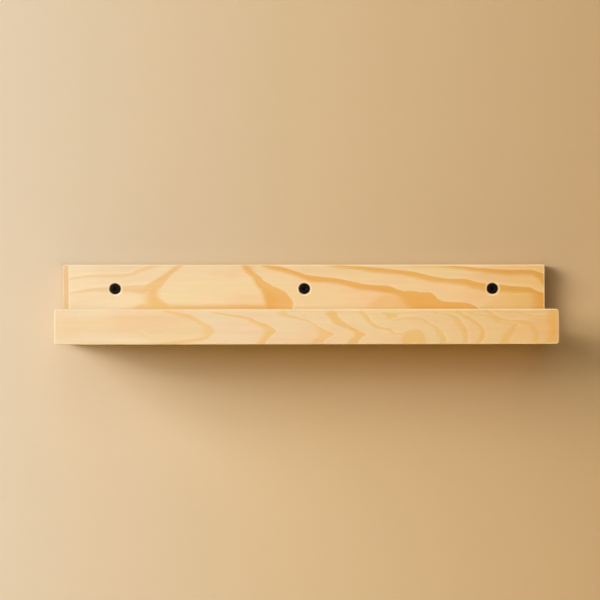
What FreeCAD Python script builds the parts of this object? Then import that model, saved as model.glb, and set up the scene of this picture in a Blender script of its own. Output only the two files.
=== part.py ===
import FreeCAD, Part
import os
import Sketcher

# Wall plate rack: three pine boards, the dowels and screws that join them, and the three
# black screws that hold the rack on a wall. Millimetres.
#
# The origin is the middle of the back board's rear face, which lies on the wall.
# +X runs along the rack, +Y goes into the wall and +Z is up. The rack's front faces -Y.
# Each piece is drawn in its own frame and set in its place by its Placement.

SIZES = {
    # Boards
    "rack_length": 450.0,
    "back_thickness": 15.0,
    "back_height": 72.5,
    "shelf_depth": 70.0,
    "shelf_thickness": 15.0,
    "rail_thickness": 15.0,
    "rail_height": 31.5,
    # Bevel across the back board's left end, and the rounding of the boards' edges
    "end_bevel": 6.0,
    "back_edge_radius": 0.8,
    "shelf_edge_radius": 0.8,
    "rail_corner_radius": 2.8,
    "rail_front_radius": 1.0,
    "rail_rear_radius": 0.8,
    # Screws through the back board into the wall: 5 x 50, countersunk
    "wall_screw_length": 50.0,
    "wall_screw_thread": 5.0,
    "wall_screw_shank": 3.6,
    "wall_screw_head": 10.0,
    "wall_screw_tip": 6.0,
    "wall_screw_sink": 0.5,
    "wall_screw_margin": 49.0,
    "wall_screw_drop": 22.4,
    "wall_recess_span": 4.8,
    "wall_recess_arm": 1.2,
    "wall_recess_depth": 2.2,
    # Screws from behind through the back board into the shelf: 4 x 40, countersunk
    "shelf_screw_length": 40.0,
    "shelf_screw_thread": 4.0,
    "shelf_screw_shank": 2.8,
    "shelf_screw_head": 8.0,
    "shelf_screw_tip": 5.0,
    "shelf_screw_sink": 0.5,
    "shelf_screw_margin": 75.0,
    "shelf_recess_span": 4.0,
    "shelf_recess_arm": 1.0,
    "shelf_recess_depth": 1.8,
    # Both kinds of screw
    "screw_head_rim": 0.3,
    "screw_tip_radius": 0.3,
    "screw_hole_clearance": 0.25,
    "screw_seat_clearance": 0.05,
    "screw_bite_clearance": 0.05,
    "screw_end_space": 2.0,
    # Fluted beech dowels: 6 x 30
    "dowel_length": 30.0,
    "dowel_diameter": 6.0,
    "dowel_chamfer": 0.8,
    "flute_radius": 0.4,
    "flute_count": 8,
    "dowel_cover": 4.5,
    "dowel_glue_gap": 0.05,
    "dowel_end_space": 0.5,
    "rail_dowel_margin": 45.0,
    "shelf_dowel_margin": 30.0,
}

COUNTERSINK_ANGLE = 90.0
ON_PLANE_TOLERANCE = 0.001

doc = FreeCAD.newDocument("WallPlateRack")
sheet = doc.addObject("Spreadsheet::Sheet", "Sizes")
for row, (alias, value) in enumerate(SIZES.items(), start=1):
    sheet.set(f"A{row}", alias)
    sheet.set(f"B{row}", str(value))
    sheet.setAlias(f"B{row}", alias)
doc.recompute()


def number(expression):
    """The value of an expression over the sheet's sizes."""
    return float(sheet.evalExpression(expression))


# Places that several pieces share, as expressions over the sheet's sizes

UNDERSIDE = "-Sizes.back_height / 2"
SHELF_REAR = "-Sizes.back_thickness"
RAIL_REAR = "-(Sizes.back_thickness + Sizes.shelf_depth)"
JOINT_HEIGHT = "Sizes.shelf_thickness / 2"

WALL_SCREW_REACH = "(Sizes.rack_length / 2 - Sizes.wall_screw_margin)"
WALL_SCREW_HEIGHT = "(Sizes.back_height - Sizes.wall_screw_drop)"
WALL_SCREW_PLACES = {
    "left": f"-{WALL_SCREW_REACH}",
    "middle": "0",
    "right": WALL_SCREW_REACH,
}

SHELF_SCREW_REACH = "(Sizes.rack_length / 2 - Sizes.shelf_screw_margin)"
SHELF_SCREW_PLACES = {
    "left": f"-{SHELF_SCREW_REACH}",
    "middle": "0",
    "right": SHELF_SCREW_REACH,
}

SHELF_DOWEL_REACH = "(Sizes.rack_length / 2 - Sizes.shelf_dowel_margin)"
SHELF_DOWEL_PLACES = {
    "left": f"-{SHELF_DOWEL_REACH}",
    "right": SHELF_DOWEL_REACH,
}

RAIL_DOWEL_REACH = "(Sizes.rack_length / 2 - Sizes.rail_dowel_margin)"
RAIL_DOWEL_PLACES = {
    "1": f"-{RAIL_DOWEL_REACH}",
    "2": f"-{RAIL_DOWEL_REACH} / 3",
    "3": f"{RAIL_DOWEL_REACH} / 3",
    "4": RAIL_DOWEL_REACH,
}

# A dowel's hole in the back board or the rail stops dowel_cover short of the far face.
# The dowel stops dowel_end_space short of the hole's bottom.

BACK_DOWEL_HOLE = "Sizes.back_thickness - Sizes.dowel_cover"
RAIL_DOWEL_HOLE = "Sizes.rail_thickness - Sizes.dowel_cover"
SHELF_HOLE_TO_BACK = f"Sizes.dowel_length + 2 * Sizes.dowel_end_space - ({BACK_DOWEL_HOLE})"
SHELF_HOLE_TO_RAIL = f"Sizes.dowel_length + 2 * Sizes.dowel_end_space - ({RAIL_DOWEL_HOLE})"
DOWEL_HOLE_RADIUS = "Sizes.dowel_diameter / 2 + Sizes.dowel_glue_gap"
SHELF_SCREW_HOLE = (
    "Sizes.shelf_screw_length + Sizes.shelf_screw_sink"
    " - Sizes.back_thickness + Sizes.screw_end_space"
)


# Building helpers


def new_body(label):
    """A body with its own label, which names its file."""
    body = doc.addObject("PartDesign::Body", label)
    body.Label = label
    doc.recompute()
    return body


def place(body, **expressions):
    """Sets the body in the rack: x, y and z are expressions."""
    for axis, expression in expressions.items():
        body.setExpression(f"Placement.Base.{axis}", expression)


def origin_feature(body, role):
    """One of the body's own origin planes or axes."""
    for feature in body.Origin.OriginFeatures:
        if feature.Role == role:
            return feature
    raise ValueError(f"{body.Label} has no {role}")


def new_sketch(body, name, plane, lift="0", reversed_side=False):
    """A sketch on one of the body's origin planes, moved along its normal by lift."""
    sketch = body.newObject("Sketcher::SketchObject", f"{body.Name}_{name}")
    sketch.AttachmentSupport = (origin_feature(body, plane), [""])
    sketch.MapMode = "FlatFace"
    sketch.MapReversed = reversed_side
    sketch.setExpression("AttachmentOffset.Base.z", lift)
    return sketch


def bind(sketch, kind, geometry, name, expression):
    """Adds one dimension to the sketch and binds it to an expression."""
    constraint = Sketcher.Constraint(kind, *geometry, number(expression))
    index = sketch.addConstraint(constraint)
    sketch.renameConstraint(index, name)
    sketch.setExpression(f"Constraints.{name}", expression)


def draw_polygon(sketch, corners):
    """A closed outline whose corners are pairs of expressions."""
    points = [FreeCAD.Vector(number(x), number(y), 0) for x, y in corners]
    count = len(points)
    for index in range(count):
        end = points[(index + 1) % count]
        sketch.addGeometry(Part.LineSegment(points[index], end))
    for index in range(count):
        following = (index + 1) % count
        sketch.addConstraint(Sketcher.Constraint("Coincident", index, 2, following, 1))
    for index, (x, y) in enumerate(corners):
        bind(sketch, "DistanceX", (-1, 1, index, 1), f"corner_{index}_x", x)
        bind(sketch, "DistanceY", (-1, 1, index, 1), f"corner_{index}_y", y)


def draw_circles(sketch, centres, radius):
    """One circle of the given radius at each pair of expressions."""
    for index, (x, y) in enumerate(centres):
        centre = FreeCAD.Vector(number(x), number(y), 0)
        up = FreeCAD.Vector(0, 0, 1)
        sketch.addGeometry(Part.Circle(centre, up, number(radius)))
        bind(sketch, "DistanceX", (-1, 1, index, 3), f"centre_{index}_x", x)
        bind(sketch, "DistanceY", (-1, 1, index, 3), f"centre_{index}_y", y)
        bind(sketch, "Radius", (index,), f"radius_{index}", radius)


def extrude(body, name, sketch, length):
    """Adds the sketch's outline, length along the sketch's normal."""
    pad = body.newObject("PartDesign::Pad", f"{body.Name}_{name}")
    pad.Profile = sketch
    pad.setExpression("Length", length)
    doc.recompute()
    return pad


def check_smaller(body, before, feature):
    """Stops if a cut took nothing away."""
    if not feature.Shape.Volume < before - ON_PLANE_TOLERANCE:
        raise RuntimeError(f"{feature.Name} cuts nothing from {body.Label}")


def cut(body, name, sketch, depth, reversed_side=False):
    """Cuts the sketch's outline, depth against the sketch's normal."""
    before = body.Tip.Shape.Volume
    pocket = body.newObject("PartDesign::Pocket", f"{body.Name}_{name}")
    pocket.Profile = sketch
    pocket.Reversed = reversed_side
    pocket.setExpression("Length", depth)
    doc.recompute()
    check_smaller(body, before, pocket)
    return pocket


def drill_countersunk(body, name, sketch, diameter, mouth):
    """Drills through at each circle of the sketch, with a countersink."""
    before = body.Tip.Shape.Volume
    hole = body.newObject("PartDesign::Hole", f"{body.Name}_{name}")
    hole.Profile = sketch
    doc.recompute()
    hole.ThreadType = "None"
    hole.DepthType = "ThroughAll"
    hole.DrillPoint = "Flat"
    hole.HoleCutType = "Countersink"
    hole.HoleCutCustomValues = True
    hole.HoleCutCountersinkAngle = COUNTERSINK_ANGLE
    hole.setExpression("Diameter", diameter)
    hole.setExpression("HoleCutDiameter", mouth)
    doc.recompute()
    check_smaller(body, before, hole)


def round_edges(body, name, radius, chosen):
    """Rounds the edges of the body that chosen accepts, given each edge's box."""
    base = body.Tip
    names = []
    for index, edge in enumerate(base.Shape.Edges, start=1):
        if chosen(edge.BoundBox):
            names.append(f"Edge{index}")
    fillet = body.newObject("PartDesign::Fillet", f"{body.Name}_{name}")
    fillet.Base = (base, names)
    fillet.setExpression("Radius", radius)
    doc.recompute()


def near(value, target):
    return abs(value - target) < ON_PLANE_TOLERANCE


def along_y(box):
    """True for a straight edge that runs along Y."""
    return near(box.XLength, 0) and near(box.ZLength, 0)


def across(centres, height):
    """Hole centres at the named places along X, at one height."""
    return [(x, height) for x in centres.values()]


# Boards


def make_back_board():
    body = new_body("back_board")
    half = "Sizes.rack_length / 2"
    front = "-Sizes.back_thickness"
    plan = new_sketch(body, "plan", "XY_Plane")
    corners = [
        (f"-{half}", "0"),
        (f"-{half}", f"{front} + Sizes.end_bevel"),
        (f"-{half} + Sizes.end_bevel", front),
        (half, front),
        (half, "0"),
    ]
    draw_polygon(plan, corners)
    extrude(body, "board", plan, "Sizes.back_height")
    round_edges(body, "edges", "Sizes.back_edge_radius", lambda box: True)

    wall_holes = new_sketch(body, "wall_hole_centres", "XZ_Plane", "Sizes.back_thickness")
    radius = "Sizes.wall_screw_thread / 2"
    draw_circles(wall_holes, across(WALL_SCREW_PLACES, WALL_SCREW_HEIGHT), radius)
    drill_countersunk(
        body, "wall_holes", wall_holes, hole_diameter("wall"), hole_mouth("wall")
    )

    shelf_holes = new_sketch(body, "shelf_hole_centres", "XZ_Plane", reversed_side=True)
    radius = "Sizes.shelf_screw_thread / 2"
    draw_circles(shelf_holes, across(SHELF_SCREW_PLACES, JOINT_HEIGHT), radius)
    drill_countersunk(
        body, "shelf_holes", shelf_holes, hole_diameter("shelf"), hole_mouth("shelf")
    )

    dowel_holes = new_sketch(body, "dowel_centres", "XZ_Plane", "Sizes.back_thickness")
    draw_circles(dowel_holes, across(SHELF_DOWEL_PLACES, JOINT_HEIGHT), DOWEL_HOLE_RADIUS)
    cut(body, "dowel_holes", dowel_holes, BACK_DOWEL_HOLE)
    place(body, z=UNDERSIDE)


def hole_diameter(kind):
    """Clearance hole in the back board for a kind of screw."""
    return f"Sizes.{kind}_screw_thread + 2 * Sizes.screw_hole_clearance"


def hole_mouth(kind):
    """Mouth of the countersink that the screw's head sinks into."""
    depth = f"Sizes.{kind}_screw_sink + Sizes.screw_head_rim + Sizes.screw_seat_clearance"
    return f"Sizes.{kind}_screw_head + 2 * ({depth})"


def make_shelf_board():
    body = new_body("shelf_board")
    half = "Sizes.rack_length / 2"
    front = "-Sizes.shelf_depth"
    plan = new_sketch(body, "plan", "XY_Plane")
    corners = [(f"-{half}", "0"), (f"-{half}", front), (half, front), (half, "0")]
    draw_polygon(plan, corners)
    extrude(body, "board", plan, "Sizes.shelf_thickness")
    round_edges(body, "edges", "Sizes.shelf_edge_radius", lambda box: True)

    screw_holes = new_sketch(body, "screw_centres", "XZ_Plane")
    radius = "Sizes.shelf_screw_thread / 2 + Sizes.screw_bite_clearance"
    draw_circles(screw_holes, across(SHELF_SCREW_PLACES, JOINT_HEIGHT), radius)
    cut(body, "screw_holes", screw_holes, SHELF_SCREW_HOLE, reversed_side=True)

    rear_holes = new_sketch(body, "rear_dowel_centres", "XZ_Plane")
    draw_circles(rear_holes, across(SHELF_DOWEL_PLACES, JOINT_HEIGHT), DOWEL_HOLE_RADIUS)
    cut(body, "rear_dowel_holes", rear_holes, SHELF_HOLE_TO_BACK, reversed_side=True)

    front_holes = new_sketch(body, "front_dowel_centres", "XZ_Plane", "Sizes.shelf_depth")
    draw_circles(front_holes, across(RAIL_DOWEL_PLACES, JOINT_HEIGHT), DOWEL_HOLE_RADIUS)
    cut(body, "front_dowel_holes", front_holes, SHELF_HOLE_TO_RAIL)
    place(body, y=SHELF_REAR, z=UNDERSIDE)


def make_front_rail():
    body = new_body("front_rail")
    half = "Sizes.rack_length / 2"
    front = "-Sizes.rail_thickness"
    plan = new_sketch(body, "plan", "XY_Plane")
    corners = [(f"-{half}", "0"), (f"-{half}", front), (half, front), (half, "0")]
    draw_polygon(plan, corners)
    extrude(body, "board", plan, "Sizes.rail_height")
    front_plane = number(front)
    round_edges(body, "corners", "Sizes.rail_corner_radius", along_y)
    round_edges(
        body,
        "front_edge",
        "Sizes.rail_front_radius",
        lambda box: near(box.YMin, front_plane) and near(box.YMax, front_plane),
    )
    round_edges(
        body,
        "rear_edge",
        "Sizes.rail_rear_radius",
        lambda box: near(box.YMin, 0) and near(box.YMax, 0),
    )

    dowel_holes = new_sketch(body, "dowel_centres", "XZ_Plane")
    draw_circles(dowel_holes, across(RAIL_DOWEL_PLACES, JOINT_HEIGHT), DOWEL_HOLE_RADIUS)
    cut(body, "dowel_holes", dowel_holes, RAIL_DOWEL_HOLE, reversed_side=True)
    place(body, y=RAIL_REAR, z=UNDERSIDE)


# Fasteners


def make_screw(label, kind):
    """A countersunk wood screw along Y: its head's top at y = 0, its tip towards +Y.

    The smooth shank ends where the screw leaves the back board, and the thread begins.
    The thread is drawn as the cylinder round its crests.
    """
    body = new_body(label)
    head = f"Sizes.{kind}_screw_head / 2"
    shank = f"Sizes.{kind}_screw_shank / 2"
    thread = f"Sizes.{kind}_screw_thread / 2"
    rim = "Sizes.screw_head_rim"
    length = f"Sizes.{kind}_screw_length"
    smooth_end = f"Sizes.back_thickness - Sizes.{kind}_screw_sink"
    profile = new_sketch(body, "profile", "XY_Plane")
    corners = [
        ("0", "0"),
        (head, "0"),
        (head, rim),
        (shank, f"{rim} + {head} - {shank}"),
        (shank, smooth_end),
        (thread, smooth_end),
        (thread, f"{length} - Sizes.{kind}_screw_tip"),
        ("Sizes.screw_tip_radius", length),
        ("0", length),
    ]
    draw_polygon(profile, corners)
    turned = body.newObject("PartDesign::Revolution", f"{label}_turned")
    turned.Profile = profile
    turned.ReferenceAxis = (profile, ["V_Axis"])
    doc.recompute()

    recess = new_sketch(body, "recess", "XZ_Plane")
    span = f"Sizes.{kind}_recess_span / 2"
    arm = f"Sizes.{kind}_recess_arm / 2"
    quarter = [(span, arm), (arm, arm), (arm, span)]
    upper = quarter + [(f"-{x}", y) for x, y in reversed(quarter)]
    lower = [(negated(x), negated(y)) for x, y in upper]
    draw_polygon(recess, upper + lower)
    cut(body, "cross_recess", recess, f"Sizes.{kind}_recess_depth")
    return body


def negated(expression):
    return expression[1:] if expression.startswith("-") else f"-{expression}"


def make_wall_screws():
    for side, x in WALL_SCREW_PLACES.items():
        body = make_screw(f"wall_screw_{side}", "wall")
        head_top = "-Sizes.back_thickness + Sizes.wall_screw_sink"
        place(body, x=x, y=head_top, z=f"{UNDERSIDE} + {WALL_SCREW_HEIGHT}")


def make_shelf_screws():
    """These point towards -Y: their heads lie in the back board's rear face."""
    half_turn = FreeCAD.Rotation(FreeCAD.Vector(0, 0, 1), 180)
    for side, x in SHELF_SCREW_PLACES.items():
        body = make_screw(f"shelf_screw_{side}", "shelf")
        body.Placement = FreeCAD.Placement(FreeCAD.Vector(), half_turn)
        place(body, x=x, y="-Sizes.shelf_screw_sink", z=f"{UNDERSIDE} + {JOINT_HEIGHT}")


def make_dowel(label):
    """A fluted dowel along Y, from y = 0 towards -Y."""
    body = new_body(label)
    radius = "Sizes.dowel_diameter / 2"
    round_section = new_sketch(body, "section", "XZ_Plane")
    draw_circles(round_section, [("0", "0")], radius)
    pin = extrude(body, "pin", round_section, "Sizes.dowel_length")

    chamfer = body.newObject("PartDesign::Chamfer", f"{label}_ends")
    rims = [
        f"Edge{index}"
        for index, edge in enumerate(pin.Shape.Edges, start=1)
        if near(edge.BoundBox.YLength, 0)
    ]
    chamfer.Base = (pin, rims)
    chamfer.setExpression("Size", "Sizes.dowel_chamfer")
    doc.recompute()

    flute = new_sketch(body, "flute", "XZ_Plane")
    draw_circles(flute, [("0", radius)], "Sizes.flute_radius")
    groove = cut(body, "groove", flute, "Sizes.dowel_length", reversed_side=True)
    before = groove.Shape.Volume
    ring = body.newObject("PartDesign::PolarPattern", f"{label}_flutes")
    ring.Originals = [groove]
    ring.Axis = (origin_feature(body, "Y_Axis"), [""])
    ring.Angle = 360
    ring.setExpression("Occurrences", "Sizes.flute_count")
    body.Tip = ring
    doc.recompute()
    check_smaller(body, before, ring)
    return body


def make_shelf_dowels():
    for side, x in SHELF_DOWEL_PLACES.items():
        body = make_dowel(f"shelf_dowel_{side}")
        rear_end = "-(Sizes.dowel_cover + Sizes.dowel_end_space)"
        place(body, x=x, y=rear_end, z=f"{UNDERSIDE} + {JOINT_HEIGHT}")


def make_rail_dowels():
    for side, x in RAIL_DOWEL_PLACES.items():
        body = make_dowel(f"rail_dowel_{side}")
        rear_end = f"{RAIL_REAR} + {SHELF_HOLE_TO_RAIL} - Sizes.dowel_end_space"
        place(body, x=x, y=rear_end, z=f"{UNDERSIDE} + {JOINT_HEIGHT}")


def check_document():
    """Stops if any object failed or any body has no valid single solid."""
    for item in doc.Objects:
        if "Invalid" in item.State or "Error" in item.State:
            raise RuntimeError(f"{item.Name} failed: {item.State}")
    for body in bodies():
        shape = body.Shape
        if shape.isNull() or not shape.isValid() or len(shape.Solids) != 1:
            raise RuntimeError(f"{body.Label} isn't one valid solid")


def bodies():
    return [item for item in doc.Objects if item.TypeId == "PartDesign::Body"]


def write_parts():
    os.makedirs("parts", exist_ok=True)
    for body in bodies():
        body.Shape.exportStep(f"parts/{body.Label}.step")
        print(f"{body.Label}: {body.Shape.Volume:.1f} mm3")


make_back_board()
make_shelf_board()
make_front_rail()
make_wall_screws()
make_shelf_screws()
make_shelf_dowels()
make_rail_dowels()
doc.recompute()
check_document()
write_parts()
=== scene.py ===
import math

import bmesh
import bpy
from mathutils import Matrix, Vector


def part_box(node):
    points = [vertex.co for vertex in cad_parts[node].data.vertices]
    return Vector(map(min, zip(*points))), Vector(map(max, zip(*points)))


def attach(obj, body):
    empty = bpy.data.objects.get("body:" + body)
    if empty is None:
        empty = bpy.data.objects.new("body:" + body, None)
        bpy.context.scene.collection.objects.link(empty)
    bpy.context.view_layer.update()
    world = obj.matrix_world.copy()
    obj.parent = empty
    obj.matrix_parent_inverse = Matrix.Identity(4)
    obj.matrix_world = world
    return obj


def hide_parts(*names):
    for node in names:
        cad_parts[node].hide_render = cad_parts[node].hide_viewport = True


# Looks of the wall plate rack: its pine boards, screws and dowels, the wall and the light.
# The frame is in metres. Lengths here are in millimetres unless they say metres, and
# material patterns are drawn in millimetres too. Colours are written as 0 to 255 sRGB.

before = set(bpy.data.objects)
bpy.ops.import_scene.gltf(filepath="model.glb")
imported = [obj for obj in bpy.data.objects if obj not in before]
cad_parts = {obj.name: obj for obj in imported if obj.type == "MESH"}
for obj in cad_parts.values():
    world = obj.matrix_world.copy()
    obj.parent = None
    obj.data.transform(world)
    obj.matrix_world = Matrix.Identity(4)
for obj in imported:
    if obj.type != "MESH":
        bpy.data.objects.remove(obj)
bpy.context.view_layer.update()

MM = 0.001
NOISE = (0.3, 0.7)  # nearly all of a noise lies between these

# ---- Small helpers ----


def colour(red, green, blue):
    """A linear colour from 0 to 255 sRGB."""

    def linear(level):
        share = level / 255
        if share <= 0.04045:
            return share / 12.92
        return ((share + 0.055) / 1.055) ** 2.4

    return (linear(red), linear(green), linear(blue), 1.0)


def share_of(value, span):
    """Where a value lies in a span, as 0 at its start and 1 at its end."""
    return (value - span[0]) / (span[1] - span[0])


class Graph:
    """Adds shader nodes. Each input takes a number, a vector, a colour or an output."""

    def __init__(self, tree):
        self.tree = tree

    def feed(self, socket, value):
        if isinstance(value, bpy.types.NodeSocket):
            self.tree.links.new(value, socket)
        else:
            socket.default_value = value

    def fill(self, node, inputs):
        for key, value in inputs.items():
            self.feed(node.inputs[key], value)

    def add(self, kind, inputs=None, **settings):
        node = self.tree.nodes.new("ShaderNode" + kind)
        for name, value in settings.items():
            setattr(node, name, value)
        self.fill(node, inputs or {})
        return node

    def math(self, operation, *values, clamp=False):
        node = self.add("Math", operation=operation, use_clamp=clamp)
        for socket, value in zip(node.inputs, values):
            self.feed(socket, value)
        return node.outputs[0]

    def fold(self, operation, values):
        result = values[0]
        for value in values[1:]:
            result = self.math(operation, result, value)
        return result

    def smallest(self, *values):
        return self.fold("MINIMUM", values)

    def largest(self, *values):
        return self.fold("MAXIMUM", values)

    def product(self, *values):
        return self.fold("MULTIPLY", values)

    def total(self, *values):
        return self.fold("ADD", values)

    def invert(self, value):
        return self.math("SUBTRACT", 1.0, value)

    def away(self, value, middle):
        """The distance of a value from a middle."""
        return self.math("ABSOLUTE", self.math("SUBTRACT", value, middle))

    def length(self, *values):
        """The length of a line with these steps."""
        return self.math("SQRT", self.total(*[self.product(value, value) for value in values]))

    def scale(self, value, start, end, low=0.0, high=1.0, kind="LINEAR"):
        """Goes straight from low to high while value goes from start to end."""
        inputs = {"Value": value, "From Min": start, "From Max": end, "To Min": low, "To Max": high}
        return self.add("MapRange", inputs, interpolation_type=kind).outputs[0]

    def ease(self, value, start, end, low=0.0, high=1.0):
        """Goes smoothly from low to high while value goes from start to end."""
        return self.scale(value, start, end, low, high, "SMOOTHSTEP")

    def vector(self, x, y, z):
        return self.add("CombineXYZ", {"X": x, "Y": y, "Z": z}).outputs[0]

    def vectors(self, operation, first, second):
        return self.add("VectorMath", {0: first, 1: second}, operation=operation).outputs

    def noise(self, place, pattern, detail=2.0, roughness=0.5):
        """Noise whose pattern says how often it changes per millimetre along x, y and z."""
        place = self.vectors("MULTIPLY", place, pattern)[0]
        inputs = {"Vector": place, "Scale": 1.0, "Detail": detail, "Roughness": roughness}
        return self.add("TexNoise", inputs).outputs[0]

    def mix(self, factor, first, second, blend="MIX"):
        inputs = {0: factor, 6: first, 7: second}
        return self.add("Mix", inputs, data_type="RGBA", blend_type=blend).outputs[2]

    def darken(self, shown, tone):
        return self.mix(1.0, shown, self.vector(tone, tone, tone), "MULTIPLY")

    def by_place(self, value, colours):
        """A colour ramp along a value, from {place: sRGB colour}."""
        places = sorted(colours)
        span = (places[0], places[-1])
        node = self.add("ValToRGB", {"Fac": self.scale(value, *span)})
        elements = node.color_ramp.elements
        elements[0].position = 0.0
        elements[0].color = colour(*colours[places[0]])
        elements[1].position = 1.0
        elements[1].color = colour(*colours[places[-1]])
        for place in places[1:-1]:
            elements.new(share_of(place, span)).color = colour(*colours[place])
        return node.outputs[0]

    def mix_shaders(self, factor, first, second):
        inputs = {0: factor, 1: first.outputs[0], 2: second.outputs[0]}
        return self.add("MixShader", inputs).outputs[0]

    def curve(self, value, points):
        """A smooth curve through (input, output) points, both from 0 to 1."""
        node = self.add("FloatCurve", {"Value": value})
        mapping = node.mapping
        mapping.extend = "HORIZONTAL"
        places = sorted(points)
        line = mapping.curves[0].points
        line[0].location = places[0]
        line[1].location = places[-1]
        for place in places[1:-1]:
            line.new(*place)
        for point in line:
            point.handle_type = "AUTO_CLAMPED"
        mapping.update()
        return node.outputs[0]


def new_material(name):
    """A material with a surface shader, and the graph that feeds it."""
    material = bpy.data.materials.new(name)
    material.use_nodes = True
    tree = material.node_tree
    tree.nodes.clear()
    graph = Graph(tree)
    shader = graph.add("BsdfPrincipled")
    output = graph.add("OutputMaterial")
    tree.links.new(shader.outputs[0], output.inputs[0])
    return material, graph, shader


def object_place(graph):
    """The place on the object in millimetres, as a vector and as x, y and z."""
    coordinates = graph.add("TexCoord")
    place = graph.vectors("MULTIPLY", coordinates.outputs["Object"], (1 / MM, 1 / MM, 1 / MM))[0]
    return place, graph.add("SeparateXYZ", {"Vector": place}).outputs


def surface_normal(graph):
    """The x, y and z of the surface's normal."""
    coordinates = graph.add("TexCoord")
    return graph.add("SeparateXYZ", {"Vector": coordinates.outputs["Normal"]}).outputs


def bump(graph, height, strength, depth):
    """A bumped normal; depth is in metres."""
    inputs = {"Strength": strength, "Distance": depth, "Height": height}
    return graph.add("Bump", inputs).outputs[0]


# ---- The boards and the figure of their grain ----

BOARD_SPAN = (-225.0, 225.0)  # from the left end of a board to its right end
ALONG = (-240.0, 240.0)  # the span of a figure's curves along a board


class Board:
    """A CAD board's box in millimetres, and the span of its figure across the grain."""

    def __init__(self, node, across=None):
        low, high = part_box(node)
        self.low = [value / MM for value in low]
        self.high = [value / MM for value in high]
        self.middle = [(a + b) / 2 for a, b in zip(self.low, self.high)]
        self.half = [(b - a) / 2 for a, b in zip(self.low, self.high)]
        self.across = across


FRAY_ALONG = 0.5  # how far the soft side of a band frays along the fibres
FRAY_ACROSS = 0.8  # and across them
SHARP = 2.5  # a band whose far side is softer than this has no pale line beyond it
PALE_REACH = 4.0  # how far that line of early wood reaches
PALE_BREADTH = 1.5  # the line is weaker where the band is narrower than this
END_REACH = 3.0  # how far past its last point a band closes
END_CROSS = 4.0  # how far its edges cross there
LINE_SOFT = (0.5, 0.8)  # how soft the top and the bottom of a thin line are


def close_ends(upper, lower, axis):
    """Draws the two edges of a band past each other at both ends, so that it closes."""
    upper = sorted(upper, key=lambda point: point[axis])
    lower = sorted(lower, key=lambda point: point[axis])
    for end, outward in ((0, -1), (-1, 1)):
        places = (upper[end][axis], lower[end][axis])
        place = (max(places) if outward > 0 else min(places)) + outward * END_REACH
        middle = (upper[end][1 - axis] + lower[end][1 - axis]) / 2
        for edge, value in ((upper, middle - END_CROSS), (lower, middle + END_CROSS)):
            point = (place, value) if axis == 0 else (value, place)
            edge.insert(len(edge) if outward > 0 else 0, point)
    return upper, lower


class Figure:
    """Bands of latewood drawn on the board's front face by their edges.

    A level band has edges that run along the board, and a steep one has edges that
    cross it. An edge is a list of (x, z) points. Where the edges cross, the band ends.
    """

    def __init__(self, graph, board, x, z, fray):
        self.graph = graph
        self.across = board.across
        self.u = graph.scale(x, *ALONG)
        self.v = graph.scale(z, *self.across)
        frayed_x = graph.total(x, graph.product(fray, FRAY_ALONG))
        frayed_z = graph.total(z, graph.product(fray, FRAY_ACROSS))
        self.rough_u = graph.scale(frayed_x, *ALONG)
        self.rough_v = graph.scale(frayed_z, *self.across)
        self.bands = []
        self.pales = []

    def edge(self, points, level):
        along = [share_of(x, ALONG) for x, z in points]
        across = [share_of(z, self.across) for x, z in points]
        if level:
            return self.graph.curve(self.u, list(zip(along, across)))
        return self.graph.curve(self.v, list(zip(across, along)))

    def band(self, strength, near, far, span):
        """A band between two sides, each given as a value, an edge and a softness."""
        graph = self.graph
        one = 1 / (span[1] - span[0])  # a millimetre on this span
        near_value, near_edge, near_soft = near
        far_value, far_edge, far_soft = far
        within = graph.math("SUBTRACT", near_value, near_edge)
        begun = graph.ease(within, -near_soft / 2 * one, near_soft / 2 * one)
        beyond = graph.math("SUBTRACT", far_value, far_edge)
        passed = graph.ease(beyond, -far_soft / 2 * one, far_soft / 2 * one)
        inside = graph.product(begun, graph.invert(passed))
        self.bands.append(graph.product(inside, strength))
        if far_soft < SHARP:
            fade = graph.ease(beyond, 0.0, PALE_REACH * one, 1.0, 0.0)
            breadth = graph.math("SUBTRACT", far_edge, near_edge)
            broad = graph.ease(breadth, 0.0, PALE_BREADTH * one)
            self.pales.append(graph.product(passed, fade, broad))

    def level(self, strength, top, bottom, soft):
        """A level band; soft gives the softness of its top and of its bottom."""
        top, bottom = close_ends(top, bottom, 0)
        near = (self.rough_v, self.edge(bottom, True), soft[1])
        self.band(strength, near, (self.v, self.edge(top, True), soft[0]), self.across)

    def steep(self, strength, left, right, soft):
        """A steep band; soft gives the softness of its left and of its right."""
        right, left = close_ends(right, left, 1)
        near = (self.rough_u, self.edge(left, False), soft[0])
        self.band(strength, near, (self.u, self.edge(right, False), soft[1]), ALONG)

    def line(self, strength, width, points):
        """A thin level line."""
        top = [(x, z + width / 2) for x, z in points]
        bottom = [(x, z - width / 2) for x, z in points]
        self.level(strength, top, bottom, LINE_SOFT)

    def latewood(self):
        return self.graph.largest(*self.bands)

    def earlywood(self):
        """The palest wood, just past the sharp side of a band."""
        return self.graph.largest(*self.pales)


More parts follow.
